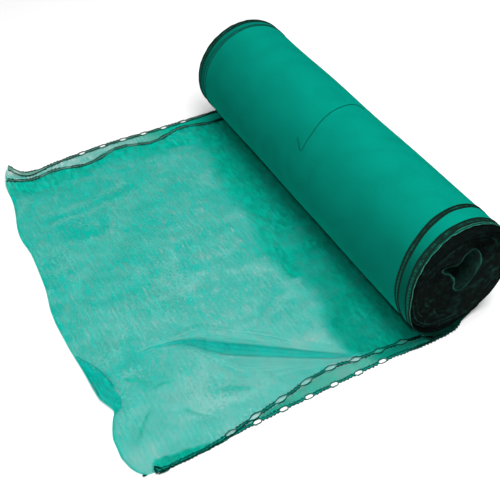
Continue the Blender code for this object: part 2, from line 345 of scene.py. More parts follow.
# Slow shift of the upper layer's knit over the lower one's
SHIFT_OF_LAYERS = 0.0020
SHIFT_PITCH = 0.22

# Edge of the part beside the roll where more layers lie under the sheet: y, x
BESIDE_ROLL = (
    (-0.520, -0.190), (-0.476, -0.215), (-0.462, -0.250), (-0.403, -0.254), (-0.330, -0.238),
    (-0.320, -0.226), (-0.254, -0.214), (-0.204, -0.218), (-0.196, -0.247), (-0.094, -0.256),
    (-0.014, -0.246), (0.020, -0.228), (0.073, -0.224), (0.190, -0.230), (0.247, -0.233),
    (0.280, -0.205), (0.380, -0.192), (0.540, -0.200),
)
# Denser strip along the far bands: x, how far it reaches in from them
FAR_DENSE = ((-0.80, 0.085), (-0.70, 0.075), (-0.60, 0.085), (-0.50, 0.030), (-0.38, 0.070), (-0.20, 0.090))

# Denser patch along the near bands at the free corner: x, how far it reaches in from them
NEAR_CORNER_DENSE = (
    (-0.766, 0.0), (-0.754, 0.026), (-0.72, 0.024), (-0.66, 0.014), (-0.60, 0.004), (-0.56, 0.0),
)

# Dark thread snagged out of the roll's outer turn: angle in degrees, y
SNAGGED_THREAD = (
    (138.6, 0.019), (142.5, 0.000), (146.3, -0.013), (144.0, -0.019), (139.0, -0.016), (125.6, -0.010),
    (112.0, 0.001), (97.0, 0.011), (82.9, 0.016), (70.0, 0.022), (62.0, 0.020), (57.0, 0.004),
)
SNAG_RADIUS = 0.0010
SNAG_PROUD = 0.0004
SNAG_POINTS = 240

# Colours, with the darker one first in a pair
THIN_NET = ((0.002, 0.325, 0.270, 1), (0.004, 0.545, 0.468, 1))
FULL_NET = ((0.001, 0.310, 0.220, 1), (0.001, 0.500, 0.360, 1))
# Dark green of the loose end's darker tones, and of its painted shade beside and under the roll
NET_SHADED = (0.001, 0.060, 0.041, 1)
# Near-black painted shadow of the sheet under the roll
NET_SHADOW_UNDER_ROLL = (0.001, 0.012, 0.009, 1)
# The wound net's threads: the loose end's green darkened, a painted shade for light lost between the wound
# turns
WOUND_NET = ((0.001, 0.268, 0.196, 1), (0.001, 0.362, 0.268, 1))
# Dark green that the outer turn turns to under its painted shade, and at its dark edge past the near bands
WOUND_SHADED = (0.001, 0.014, 0.008, 1)
# Gaps and threads of the turn below the outer one, darkened by a painted shade for the light lost between the
# turns
SHADED_TURN_BELOW = ((0.001, 0.110, 0.078, 1), (0.001, 0.225, 0.165, 1))
RAIL_DARK = (0.002, 0.016, 0.011, 1)
RAIL_FADED = (0.005, 0.090, 0.064, 1)
NEAR_UPPER_WEB = ((0.002, 0.120, 0.092, 1), (0.003, 0.330, 0.260, 1))
NEAR_LOWER_WEB = ((0.002, 0.150, 0.115, 1), (0.003, 0.380, 0.300, 1))
FAR_WEB = ((0.050, 0.200, 0.155, 1), (0.200, 0.400, 0.320, 1))
# Bands of the outer turn: rails, dark tape, green tape
NEAR_TAPE = ((0.005, 0.017, 0.012, 1), (0.005, 0.016, 0.011, 1), (0.004, 0.100, 0.072, 1))
FAR_TAPE = ((0.004, 0.042, 0.030, 1), (0.002, 0.110, 0.080, 1), (0.001, 0.170, 0.125, 1))
END_BLACK = (0.0065, 0.0095, 0.0085, 1)
END_GREEN = (0.026, 0.150, 0.112, 1)
# Near-black of the painted shade at the end's shoulder and outer rim
END_SHOULDER_SHADE = (0.001, 0.002, 0.002, 1)
SELVEDGE_PALE = (0.060, 0.25, 0.175, 1)
SELVEDGE_DARK = (0.003, 0.022, 0.016, 1)
THREAD_DARK = (0.002, 0.050, 0.036, 1)
THREAD_GREEN = (0.003, 0.085, 0.062, 1)
FLOOR_TONES = ((0.95, 0.95, 0.95, 1), (0.97, 0.97, 0.97, 1))
# Where the pale selvedge begins and ends along its turn, from the roll's lowest line
PALE_SELVEDGE = (0.30, 0.765)
PALE_FADE = 0.06
PLY_PITCH = 0.0022
# Changes of colour along X or along a band: where they begin, and over what length. The rails' and the tapes'
# black shadows under the roll are painted.
RAILS_SHADOW_UNDER_ROLL = (-0.150, 0.05)
TAPE_GREENER = (0.36, 0.10)
TAPE_SHADOW_BEFORE = (-0.02, -0.06)
TAPE_SHADOW_AFTER = (0.555, 0.05)

# Floor, camera and light
UP = np.array([0.0, 0.0, 1.0])
FLOOR_HALF = 6.0
FLOOR_Z = -0.0006
CAMERA_PLACE = (-0.9792, -1.2940, 1.4431)
CAMERA_TARGET = (-0.3234, -0.1218, 0.075)
CAMERA_LENS = 56.63
LIGHT_TARGET = (-0.3, 0.0, 0.1)
KEY_PLACE = (0.0, -0.6, 3.0)
KEY_SIZE = 2.2
KEY_POWER = 105.0
FILL_PLACE = (-2.4, -0.9, 0.38)
FILL_SIZE = 1.4
FILL_POWER = 33.0
WORLD_STRENGTH = 0.42


# Reading tables and shaping functions

def along(table, at):
    """Second column of a table at a value of the first, on straight runs."""
    first, second = np.array(table).T
    return np.interp(at, first, second)


def soft_along(table, at, spread=0.02):
    """Mean of five readings of a table within a spread, which rounds its corners."""
    offsets = np.linspace(-spread, spread, 5)
    return np.mean([along(table, np.asarray(at) + offset) for offset in offsets], axis=0)


def fade(value, low, high):
    """Smooth step s * s * (3 - 2 * s) of the share s of the way from low to high."""
    share = np.clip((np.asarray(value) - low) / (high - low), 0.0, 1.0)
    return share * share * (3 - 2 * share)


def bell(value, middle, width):
    """Bell exp(-d * d), where d is how many widths a value lies from the middle."""
    return np.exp(-(((value - middle) / width) ** 2))


def cloud(x, y, pitch, seed):
    """Soft uneven field, mostly from -1 to 1: nine plane waves of like lengths in seeded directions."""
    draw = np.random.default_rng(seed)
    total = 0.0
    for _ in range(9):
        turn = draw.uniform(0, 2 * math.pi)
        start = draw.uniform(0, 2 * math.pi)
        rate = 2 * math.pi * draw.uniform(0.6, 1.5) / pitch
        total = total + np.sin(rate * (x * math.cos(turn) + y * math.sin(turn)) + start)
    return total / 4.0


def unit(vectors):
    """Vectors at length one."""
    return vectors / np.linalg.norm(vectors, axis=-1, keepdims=True)


# Meshes from grids of points

def grid(points, u, v, closed=False, flip=False, capped=False, **fields):
    """Rows and columns of points as a dict. U and V spread over them, and over one column more if closed."""
    shape = (points.shape[0], points.shape[1] + closed)
    uv = np.stack([np.broadcast_to(u, shape), np.broadcast_to(v, shape)], axis=2)
    return {"points": points, "uv": uv, "closed": closed, "flip": flip, "capped": capped, "fields": fields}


def grid_corners(rows, columns, closed, flip):
    """Row and column of the four corners of each cell, in order round it."""
    row, column = np.meshgrid(np.arange(rows - 1), np.arange(columns - 1 + closed), indexing="ij")
    row, column = row.ravel(), column.ravel()
    order = (3, 2, 1, 0) if flip else (0, 1, 2, 3)
    rows_of = np.stack([row, row + 1, row + 1, row], axis=1)[:, order]
    columns_of = np.stack([column, column, column + 1, column + 1], axis=1)[:, order]
    return rows_of, columns_of


def place_object(name, data):
    """A new object in the scene, at the origin."""
    thing = bpy.data.objects.new(name, data)
    bpy.context.scene.collection.objects.link(thing)
    return thing


def add_piece(name, grids, material, slot, *nodes):
    """One smooth mesh of several grids, which rides on the body and stands for the named nodes."""
    points, faces, uvs, values = [], [], [], {}
    start = 0
    for part in grids:
        rows, columns = part["points"].shape[:2]
        rows_of, columns_of = grid_corners(rows, columns, part["closed"], part["flip"])
        corners = start + rows_of * columns + columns_of % columns
        faces.extend(corners.tolist())
        uvs.append(part["uv"][rows_of, columns_of].reshape(-1, 2))
        if part["capped"]:
            first, last = np.arange(columns)[::-1], (rows - 1) * columns + np.arange(columns)
            for end, row in ((first, 0), (last, rows - 1)):
                faces.append((start + end).tolist())
                uvs.append(np.repeat(part["uv"][row, :1], columns, axis=0))
        points.append(part["points"].reshape(-1, 3))
        for field, value in part["fields"].items():
            values.setdefault(field, []).append(np.broadcast_to(value, (rows, columns)).ravel())
        start += rows * columns
    mesh = bpy.data.meshes.new(name)
    mesh.from_pydata(np.concatenate(points), [], faces)
    layer = mesh.uv_layers.new(name="knit")
    layer.data.foreach_set("uv", np.concatenate(uvs).astype(np.float32).ravel())
    for field, value in values.items():
        attribute = mesh.attributes.new(field, "FLOAT", "POINT")
        attribute.data.foreach_set("value", np.concatenate(value).astype(np.float32))
    mesh.materials.append(material)
    mesh.shade_smooth()
    mesh.update()
    piece = place_object(name, mesh)
    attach(piece, "root")
    if nodes:
        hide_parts(*nodes)
    return piece


def flat_faces(piece, here):
    """Flat shading for the faces that touch the marked vertices, so a sharp fold casts no dark seam."""
    corners = np.empty(len(piece.data.loops), dtype=np.int32)
    piece.data.loops.foreach_get("vertex_index", corners)
    flat = here.ravel()[corners.reshape(-1, 4)].any(axis=1)
    piece.data.polygons.foreach_set("use_smooth", ~flat)
    piece.data.update()


# Shader maths

class Value:
    """A number that flows through a material's nodes. Python operators on it add Math nodes."""

    def __init__(self, finish, socket):
        self.finish = finish
        self.socket = socket

    def math(self, operation, *others):
        """A Math node on this number and others."""
        return self.finish.math(operation, self, *others)

    def __add__(self, other):
        return self.math("ADD", other)

    __radd__ = __add__

    def __sub__(self, other):
        return self.math("SUBTRACT", other)

    def __rsub__(self, other):
        return self.finish.math("SUBTRACT", other, self)

    def __mul__(self, other):
        return self.math("MULTIPLY", other)

    def __truediv__(self, other):
        return self.math("DIVIDE", other)

    def __abs__(self):
        return self.math("ABSOLUTE")

    def most(self, other):
        """The larger of this number and another."""
        return self.math("MAXIMUM", other)

    def clipped(self):
        """This number, kept between 0 and 1."""
        return self.most(0.0).math("MINIMUM", 1.0)

    def rise(self, start, length):
        """0 up to a start, then straight up to 1 over a length, which is below 0 for the other way."""
        return ((self - start) / length).clipped()

    def ridges(self):
        """Straight up and down once a unit: 1 at whole numbers, 0 half way between them."""
        return abs(self.math("FRACT") - 0.5) * 2.0


class Finish:
    """A material with one Principled shader, and short ways to add the nodes that feed it."""

    def __init__(self, name, roughness=0.5, specular=0.0):
        self.material = bpy.data.materials.new(name)
        self.material.use_nodes = True
        self.tree = self.material.node_tree
        self.shader = self.tree.nodes["Principled BSDF"]
        self.feed("Roughness", roughness)
        self.feed("Specular IOR Level", specular)

    def node(self, kind, settings=None, **inputs):
        """Adds a node and its settings, then its sockets' values or links, by name or as i0, i1 and on."""
        node = self.tree.nodes.new(kind)
        for key, value in (settings or {}).items():
            setattr(node, key, value)
        for key, value in inputs.items():
            place = int(key[1:]) if key[0] == "i" and key[1:].isdigit() else key.replace("_", " ")
            self.join(node.inputs[place], value)
        return node

    def join(self, socket, value):
        """Links a value to a socket, or sets it there where it is a plain number or colour."""
        if isinstance(value, Value):
            value = value.socket
        if isinstance(value, bpy.types.NodeSocket):
            self.tree.links.new(value, socket)
        else:
            socket.default_value = value

    def feed(self, name, value):
        """Gives the shader's own socket a value or a link."""
        self.join(self.shader.inputs[name], value)

    def math(self, operation, *inputs):
        """A Math node on up to three inputs."""
        places = {f"i{place}": value for place, value in enumerate(inputs)}
        node = self.node("ShaderNodeMath", {"operation": operation}, **places)
        return Value(self, node.outputs[0])

    def mix(self, share, first, second):
        """First colour at share 0, second at share 1."""
        node = self.node("ShaderNodeMix", {"data_type": "RGBA"}, Factor=share, i6=first, i7=second)
        return node.outputs[2]

    def field(self, name):
        """A number that the mesh holds at each vertex."""
        node = self.node("ShaderNodeAttribute", {"attribute_name": name})
        return Value(self, node.outputs["Fac"])

    def split(self, place):
        """The three numbers of a place."""
        parts = self.node("ShaderNodeSeparateXYZ", Vector=place)
        return [Value(self, output) for output in parts.outputs]

    def uv(self):
        """The two numbers of the piece's own UV map."""
        return self.split(self.node("ShaderNodeUVMap", {"uv_map": "knit"}).outputs[0])[:2]

    def place(self):
        """The point's place in Object coordinates, in metres."""
        return self.node("ShaderNodeTexCoord").outputs["Object"]

    def noise(self, pitch, detail=2.0):
        """Soft noise from 0 to 1 in Object coordinates, with lumps about a pitch across."""
        node = self.node("ShaderNodeTexNoise", Vector=self.place(), Scale=1 / pitch, Detail=detail)
        return Value(self, node.outputs[0])

    def streaks(self, first, second, third=0.0):
        """Soft noise from 0 to 1 in up to three numbers, with lumps about one across."""
        place = self.node("ShaderNodeCombineXYZ", X=first, Y=second, Z=third)
        node = self.node("ShaderNodeTexNoise", Vector=place.outputs[0], Scale=1.0, Detail=1.0)
        return Value(self, node.outputs[0])

    def bump(self, height, depth, strength):
        """Feeds the shader's Normal from a height of 0 to 1 that stands for a depth in metres."""
        node = self.node("ShaderNodeBump", Strength=strength, Distance=depth, Height=height)
        self.feed("Normal", node.outputs[0])


def knit(across, along_net, cover):
    """Raschel knit. Returns how far a point lies on a thread (0 to 1), and the thread's round height.

    Chains run along the net: distance |fract(u) - 1/2| from the nearest, u in wales. An inlaid thread
    crosses from chain to chain and back: distance |fract(u + 1/2) - 1/2 - zigzag|, where the zigzag is a
    triangle wave of two courses. A thread covers what lies nearer than its half width, which grows with
    the cover.
    """
    wales = across / WALE_PITCH
    courses = along_net / COURSE_PITCH
    beat = (courses * (2 * math.pi)).math("COSINE")
    zigzag = courses.math("PINGPONG", 1.0) - 0.5
    chain_half = (cover * CHAIN_HALF_GROWTH + CHAIN_HALF) * (beat * CHAIN_BEAT + 1.0)
    inlay_half = cover * INLAY_HALF_GROWTH + INLAY_HALF
    on_chain = abs(wales.math("FRACT") - 0.5) / chain_half
    on_inlay = abs((wales + 0.5).math("FRACT") - 0.5 - zigzag) / inlay_half
    thread = ((1.0 - on_chain) * THREAD_EDGE).clipped().most(((1.0 - on_inlay) * THREAD_EDGE).clipped())
    height = (1.0 - on_chain * on_chain).clipped().most((1.0 - on_inlay * on_inlay).clipped() * INLAY_HEIGHT)
    return thread, height


def net_grain(finish, across, along_net, layer):
    """Uneven threads of the net: streaks of several sizes about 0, added."""
    grain = 0.0
    for wide, long, strength in GRAIN_STREAKS:
        grain = grain + (finish.streaks(across / wide, along_net / long, layer) - 0.5) * strength
    return grain


def pleat_lines(finish, along_net):
    """Lines along the pleat: wavering ones, and 1 - (d / width)^2 at a distance d from each in the table."""
    across_pleat = finish.field("fold_place")
    pitch_across, pitch_along = WAVER_PITCHES
    lines = finish.streaks(across_pleat / pitch_across, along_net / pitch_along, 2.5) - 0.53
    lines = lines * (PLEAT_LINES_REACH - abs(across_pleat)).most(0.0)
    for place, width, strength in PLEAT_LINES:
        away = (across_pleat - place) / width
        lines = lines.most((1.0 - away * away) * strength)
    return lines.most(LEAST_COVER) * finish.field("fold")


def sheer_net_finish():
    """See-through net of the loose end: threads are solid and the gaps between them are open."""
    finish = Finish("sheer green knit")
    across, along_net = finish.uv()
    layer = finish.field("layer") * 9.0
    density = finish.field("cover")
    grain = net_grain(finish, across, along_net, layer) * (1.45 - density).clipped()
    tint = grain * (density.rise(0.55, 1 / 3) * 3.5 + 1.5) + 0.12
    clearer = across.rise(-0.42, 1 / 3.5) * 0.9 + 0.8
    grain = grain * clearer
    lines = pleat_lines(finish, along_net)
    bars = (along_net * (2 * math.pi / BAR_PITCH) + grain * 1.6).math("COSINE") * clearer * BAR_STRENGTH
    bars = bars * (finish.noise(0.07, 1.0) * 2.0).clipped()
    cover = (density + grain * 0.8 + lines * 0.9 + bars).most(LEAST_COVER)
    slip = finish.streaks(across / 0.0060, along_net / 0.0085, layer) - 0.5
    thread, height = knit(across + slip * WALE_SLIP, along_net, cover)
    tone = (tint + finish.noise(0.05) * 0.5 + 0.13).clipped()
    thin, full = finish.mix(tone, *THIN_NET), finish.mix(tone, *FULL_NET)
    green = finish.mix((density * 1.2 - 0.15).clipped(), thin, full)
    # The shade field holds the net's darker tones and its painted shade beside and under the roll; past 1 it
    # turns to a painted black shadow
    shade = finish.field("shade")
    green = finish.mix(shade.most(lines) * 0.75, green, NET_SHADED)
    finish.feed("Base Color", finish.mix(shade.rise(1.0, 0.4), green, NET_SHADOW_UNDER_ROLL))
    finish.feed("Alpha", thread)
    finish.bump(height, 0.0005, 0.5)
    return finish.material


def wound_net_finish():
    """The same knit, wound many turns deep: turns below show through its gaps, darker with painted shade."""
    finish = Finish("wound green knit")
    across, along_net = finish.uv()
    cover = finish.field("cover")
    thread, height = knit(across, along_net, cover)
    drift = finish.noise(0.16, 1.0)
    below, _ = knit(across + drift * 0.012 + 0.0011, along_net + drift * 0.008, cover)
    grain = finish.streaks(across / 0.0040, along_net / 0.012)
    grain = grain + finish.streaks(across / 0.005, along_net / 0.005)
    tone = (finish.noise(0.09) * 0.6 + grain * 0.5 - 0.30).clipped()
    wound = finish.mix(thread, finish.mix(below, *SHADED_TURN_BELOW), finish.mix(tone, *WOUND_NET))
    # The shade field: painted shade on the lower side and under the roll, and the dark edges past the near
    # bands
    finish.feed("Base Color", finish.mix(finish.field("shade"), wound, WOUND_SHADED))
    finish.bump(height * 0.75 + below * 0.15, 0.0006, 0.6)
    return finish.material


def rail_finish(name, web_dark, web_pale, wear=0.0):
    """Near-black chain stitches with V-shaped furrows, a few of them faded, and a painted black shadow under
    the roll.
    """
    finish = Finish(name, roughness=0.6)
    along_rail, round_rail = finish.uv()
    tilt = abs(round_rail - 0.5) * 2.0
    furrow = (along_rail / STITCH_LENGTH + tilt * 0.8).ridges()
    worn = (finish.noise(0.008, 3.0) - 0.46 + wear) * 3.5
    rail = finish.mix(worn.clipped(), RAIL_DARK, RAIL_FADED)
    web = finish.mix(finish.noise(0.004, 2.0), web_dark, web_pale)
    band = finish.mix(finish.field("web"), rail, web)
    # Painted black shadow on the rails towards and under the roll
    under_roll_shadow = finish.split(finish.place())[0].rise(*RAILS_SHADOW_UNDER_ROLL)
    finish.feed("Base Color", finish.mix(under_roll_shadow * 0.9, band, RAIL_DARK))
    finish.bump(furrow.math("SMOOTH_MIN", 0.8, 0.3), 0.0007, 0.8)
    return finish.material


def tape_finish(name, rail_colour, tape_dark, tape_green):
    """Band on the outer turn: dark rails, and between them a dull mottled tape with eyelets darkened by
    painted shade, black in a painted shadow under the roll.
    """
    finish = Finish(name, roughness=0.6)
    along_band, place = finish.uv()
    rail = ((1.15 - abs(abs(place) - 2.0)) * 5.0).clipped()
    outer = (abs(place) - 1.0).math("GREATER_THAN", 0.0)
    from_eyelet = (along_band / EYELET_PITCH).math("PINGPONG", 0.5) * 2.0
    eyelet = ((0.34 - from_eyelet) * 4.0 - abs(place) * 0.5).clipped()
    mottle = (finish.noise(0.012, 3.0) - 0.38) * 2.6
    tape = finish.mix(mottle.clipped(), tape_dark, tape_green)
    # Eyelets darker: the band below, darkened by a painted shade in the holes
    tape = finish.mix(eyelet * 0.6, tape, tape_dark)
    tape = finish.mix(along_band.rise(*TAPE_GREENER), tape, tape_green)
    rungs = ((along_band / LADDER_PITCH + place * 0.15).ridges() - 0.35).clipped()
    tape = finish.mix(rungs, tape, rail_colour)
    # Painted black shadow where the band runs under the roll
    shade_underneath = along_band.rise(*TAPE_SHADOW_BEFORE) + along_band.rise(*TAPE_SHADOW_AFTER)
    tape = finish.mix(shade_underneath, tape, rail_colour)
    finish.feed("Base Color", finish.mix(rail * outer, tape, rail_colour))
    finish.bump((along_band / STITCH_LENGTH).ridges(), 0.0005, 0.7)
    return finish.material


def roll_end_finish():
    """Stacked dark selvedges, with a dull green edge showing where a turn has slipped, and a painted shade at
    the shoulder and the face's outer rim.
    """
    finish = Finish("stacked dark selvedges", roughness=0.65)
    along_turn, _ = finish.uv()
    grain = finish.noise(0.004, 3.0)
    patches = (finish.noise(0.014, 2.0) * 2.6 - 0.6).clipped()
    mottle = (finish.noise(0.018, 5.0) - 0.50) * 1.5
    dull = (finish.field("slip") * patches + mottle.clipped() + (grain - 0.5) * 0.3) * 0.55
    dull = (dull + finish.field("lip")).clipped()
    stacked = finish.mix(dull, END_BLACK, END_GREEN)
    # Painted shade: near-black at the shoulder under the outer turn and the face's outer rim
    finish.feed("Base Color", finish.mix(finish.field("deep") * 0.7, stacked, END_SHOULDER_SHADE))
    finish.bump((along_turn / STITCH_LENGTH).ridges() * 0.5 + grain * 0.8, 0.0009, 0.7)
    return finish.material


def thread_finish(name, colour, pale=None):
    """A twisted, uneven thread of one colour, which may turn to a pale one between two places along it."""
    finish = Finish(name)
    along_thread, round_thread = finish.uv()
    if pale:
        first, last = PALE_SELVEDGE
        share = along_thread.rise(first, PALE_FADE) * along_thread.rise(last, -PALE_FADE)
        colour = finish.mix(share, colour, pale)
    finish.feed("Base Color", finish.mix(finish.noise(0.008), THREAD_DARK, colour))
    finish.bump((along_thread / PLY_PITCH + round_thread).ridges(), 0.0003, 0.6)
    return finish.material


def floor_finish():
    """Pale matt studio floor."""
    finish = Finish("pale floor", roughness=0.8, specular=0.05)
    finish.feed("Base Color", finish.mix(finish.noise(0.8), *FLOOR_TONES))
    return finish.material


# The roll

def core_radius(angle):
    """Radius of the collapsed hollow at each angle, with its corners rounded."""
    degrees, radii = np.array(CORE_OUTLINE).T
    spreads = np.linspace(-3, 3, 5)
    return np.mean([np.interp(np.degrees(angle) + s, degrees, radii, period=360) for s in spreads], axis=0)


def round_roll():
    """Angles of the roll's columns, from its lowest line once round, as one row."""
    return np.linspace(-math.pi / 2, 1.5 * math.pi, ROLL_COLUMNS, endpoint=False)[None, :]


def girth_places(girth):
    """Distances round a girth at the roll's columns, and at the first column again."""
    return np.arange(ROLL_COLUMNS + 1) * girth / ROLL_COLUMNS


def once_round(count):
    """Angles once round the roll from its lowest line, where a short way is left open for the sheet."""
    return np.linspace(-math.pi / 2 + RING_GAP, 1.5 * math.pi - RING_GAP, count)


def hollow_xz(angle, radius):
    """X and Z at a distance from the hollow's middle."""
    x = CORE_CENTRE[0] + radius * np.cos(angle)
    z = ROLL_CENTRE_Z + CORE_CENTRE[1] + radius * np.sin(angle)
    return x, z


def roll_points(angle, radius, y):
    """Points at a distance from the roll's axis, where the flat spot keeps them above the sheet under it."""
    x = radius * np.cos(angle)
    z = np.maximum(ROLL_CENTRE_Z + radius * np.sin(angle), ROLL_FLOOR + (ROLL_RADIUS - radius))
    return np.stack(np.broadcast_arrays(x, y, z), axis=-1)


def ring_y(ring, angle):
    """Y of a line round the roll: its table is read at angles from -90 to 270 degrees."""
    degrees = (np.degrees(angle) + 90) % 360 - 90
    return soft_along(ring, degrees, 7.0)


def skin_radius(angle, y):
    """Distance of the outer turn from the axis: soft swells, and drawn in a little by the ends."""
    swell = SKIN_SWELL * (cloud(ROLL_RADIUS * np.sin(angle) * 2, y, SKIN_SWELL_PITCH, 5) - 1)
    end = fade(np.abs(y), ROLL_HALF_LENGTH - 0.03, ROLL_HALF_LENGTH)
    return ROLL_RADIUS + swell - SKIN_DRAW_IN * end


def on_skin(angle, y, proud):
    """Points of a line that lies proud of the outer turn, and the outward directions there."""
    points = roll_points(angle, skin_radius(angle, y) + proud, y)
    normal = np.stack([np.cos(angle), np.zeros_like(angle), np.sin(angle)], axis=1)
    return points, normal


def skin_shades(angle, y, edge_band):
    """Darker tone of the outer turn: painted shade on its lower side, darker past the far band, and on and
    beyond the near ones, where painted shade grows towards the lower side and under the roll.
    """
    degrees = np.degrees(angle)
    far_inset = ring_y(FAR_INSET_RING, angle)
    # Painted shade: darker round the lower side, and more on the lower near part
    shade = soft_along(SKIN_SHADE, degrees, 6.0) + 0.09 * fade(-y, 0.18, 0.42) * fade(degrees, 105, 150)
    shade = shade + FAR_EDGE_SHADE * fade(y, far_inset - 0.002, far_inset + 0.006)
    # The near bands: a darker tone, and a painted shade that grows towards the lower side
    shade = shade + edge_band * (0.07 + 0.20 * fade(degrees, 90, 170))
    beyond = -ring_y(NEAR_EDGE_RING, angle)
    shade = np.maximum(shade, 0.9 * fade(-y, beyond + 0.003, beyond + 0.007))
    # Painted shade, nearly black, where the near part runs under the roll round its lowest line
    shade_underneath = 1 - fade(degrees, -45, -5) + fade(degrees, 208, 236)
    return np.maximum(shade, 0.985 * edge_band * shade_underneath)


def build_skin(material):
    """Outer turn: rows from its near selvedge to its far one, columns once round from its lowest line."""
    angle = round_roll()
    share = np.linspace(0, 1, SKIN_ROWS)[:, None]
    near, far = ring_y(NEAR_SELVEDGE_RING, angle), ring_y(FAR_SELVEDGE_RING, angle)
    y = near + (far - near) * share
    points = roll_points(angle, skin_radius(angle, y), y)
    inset = -ring_y(NEAR_INSET_RING, angle)
    edge_band = fade(-y, inset - 0.004, inset + 0.004)
    cover = SKIN_COVER + EDGE_BAND_COVER * edge_band
    shade = skin_shades(angle, y, edge_band)
    u = np.concatenate([y, y[:, :1]], axis=1)
    net = grid(points, u, girth_places(2 * math.pi * ROLL_RADIUS), closed=True, cover=cover, shade=shade)
    return add_piece("wound_net", [net], material, "net", "net_roll")


def end_height(share, angle, side):
    """How far a point of the roll's end stands out, how dull green its edge is, and its share of the lip.

    Turn position p = share * turns - side * angle / 2 pi, with a little wobble. Each turn holds two layers, so
    the relief is a sharp crest 1 - |cos(2 pi p)|^0.7 twice a turn. The whole turns floor(p) plus
    side * angle / 2 pi run on along the spiral, and sums of sines of that give each turn its own slow way in
    and out.
    """
    wobble = 0.010 * np.sin(3 * angle + 7 * share) + 0.006 * np.sin(5 * angle - 4 * share + 1)
    position = (share + wobble * np.sin(math.pi * share)) * TURNS - side * angle / (2 * math.pi)
    run = np.floor(position) + side * angle / (2 * math.pi)
    crest = 1 - np.abs(np.cos(2 * math.pi * position)) ** 0.7
    slip = 0.5 * np.sin(5.1 * run + 1.3) + 0.3 * np.sin(11.7 * run) + 0.3 * np.sin(2.3 * run + 0.7)
    lip = bell(share, *CORE_LIP_PLACE)
    height = TURN_RELIEF * crest + TURN_SPREAD * slip * (1 - share) + CORE_LIP * lip - END_DISH * share
    streaks = np.sin(3 * angle + 0.6) * np.sin(2.6 * run + 2.0) + 0.5 * np.sin(7 * angle + 3 * run)
    dull = 0.40 * fade(streaks, 0.75, 1.35) * fade(crest, 0.35, 0.8)
    degrees = np.degrees(angle) % 360
    for first, last, share_first, share_last, width, strength in END_FOLDS:
        along_fold = (degrees - first) / (last - first)
        line = share_first + (share_last - share_first) * along_fold + 0.012 * np.sin(9 * along_fold)
        ends = fade(along_fold, 0.0, 0.2) * (1 - fade(along_fold, 0.8, 1.0))
        fold = ends * bell(share, line, width)
        dull = dull + strength * fold
        height = height + END_FOLD_RELIEF * fold * fade(share, 0.02, 0.08)
    return height, dull, lip * (0.52 + 0.28 * np.sin(3 * angle + 1) * np.sin(5 * angle))


def build_roll_end(name, side, selvedge, rows_each, material):
    """One end of the roll: the second turn's shoulder under the outer one's selvedge, then the wound turns.

    Round the roll, a point at share s lies s of the way from the outer outline to the hollow's.
    """
    angle = round_roll()
    radius = ROLL_RADIUS - SECOND_TURN_IN
    face_y = ROLL_HALF_LENGTH - END_FACE_IN
    tuck = np.linspace(0.0, 1.0, SHOULDER_ROWS)[:-1, None]
    start = ring_y(selvedge, angle) - side * SHOULDER_TUCK
    wander = 0.12 * np.sin(3 * angle + 1) + 0.08 * np.sin(7 * angle)
    steps = np.abs(np.sin(math.pi * (SHOULDER_TURNS * tuck + wander))) ** 0.6
    drawn = SHOULDER_DROP * fade(tuck, 0.0, 1.0) + SHOULDER_RELIEF * steps * fade(tuck, 0.1, 0.25)
    shoulder = roll_points(angle, radius - drawn, start + (side * face_y - start) * tuck)
    share = np.linspace(0.0, 1.0, TURNS * 2 * rows_each)[:, None]
    height, dull, lip = end_height(share, angle, side)
    outer = roll_points(angle, radius, 0.0)
    inner_x, inner_z = hollow_xz(angle, core_radius(angle))
    drop = SHOULDER_DROP * (1 - fade(share, 0.0, 0.2))
    x = outer[..., 0] + (inner_x - outer[..., 0]) * share - drop * np.cos(angle)
    z = outer[..., 2] + (inner_z - outer[..., 2]) * share - drop * np.sin(angle) * (np.sin(angle) > -0.9)
    y = side * (face_y + height * fade(share, 0.0, 0.02))
    points = np.concatenate([shoulder, np.stack([x, y, z], axis=-1)])
    plain = np.zeros((len(tuck), ROLL_COLUMNS))
    fields = {
        "slip": np.concatenate([plain, dull]),
        # Painted shade, full on the shoulder and fading over the face's outer rim
        "deep": np.concatenate([np.ones(len(tuck)), 1 - fade(share[:, 0], 0.0, 0.12)])[:, None],
        "lip": np.concatenate([plain, lip]),
    }
    u = girth_places(2 * math.pi * ROLL_RADIUS)
    v = np.linspace(0, END_DEPTH, len(points))[:, None]
    return add_piece(name, [grid(points, u, v, closed=True, flip=side < 0, **fields)], material, "band")


def build_lining(material):
    """Wall of the hollow, right through the roll, with soft folds along it."""
    angle = round_roll()
    reach = ROLL_HALF_LENGTH - END_FACE_IN - END_DISH + CORE_LIP * 0.5
    y = np.linspace(-reach, reach, LINING_ROWS)[:, None]
    inward = LINING_FOLD * np.sin(7 * angle + 9 * y) * (1 - fade(np.abs(y), reach - 0.03, reach))
    x, z = hollow_xz(angle, core_radius(angle) - np.abs(inward))
    points = np.stack(np.broadcast_arrays(x, y, z), axis=-1)
    wall = grid(points, y, girth_places(LINING_GIRTH), closed=True, flip=True, slip=LINING_DULL)
    return add_piece("core_lining", [wall], material, "net")


# Threads and rails

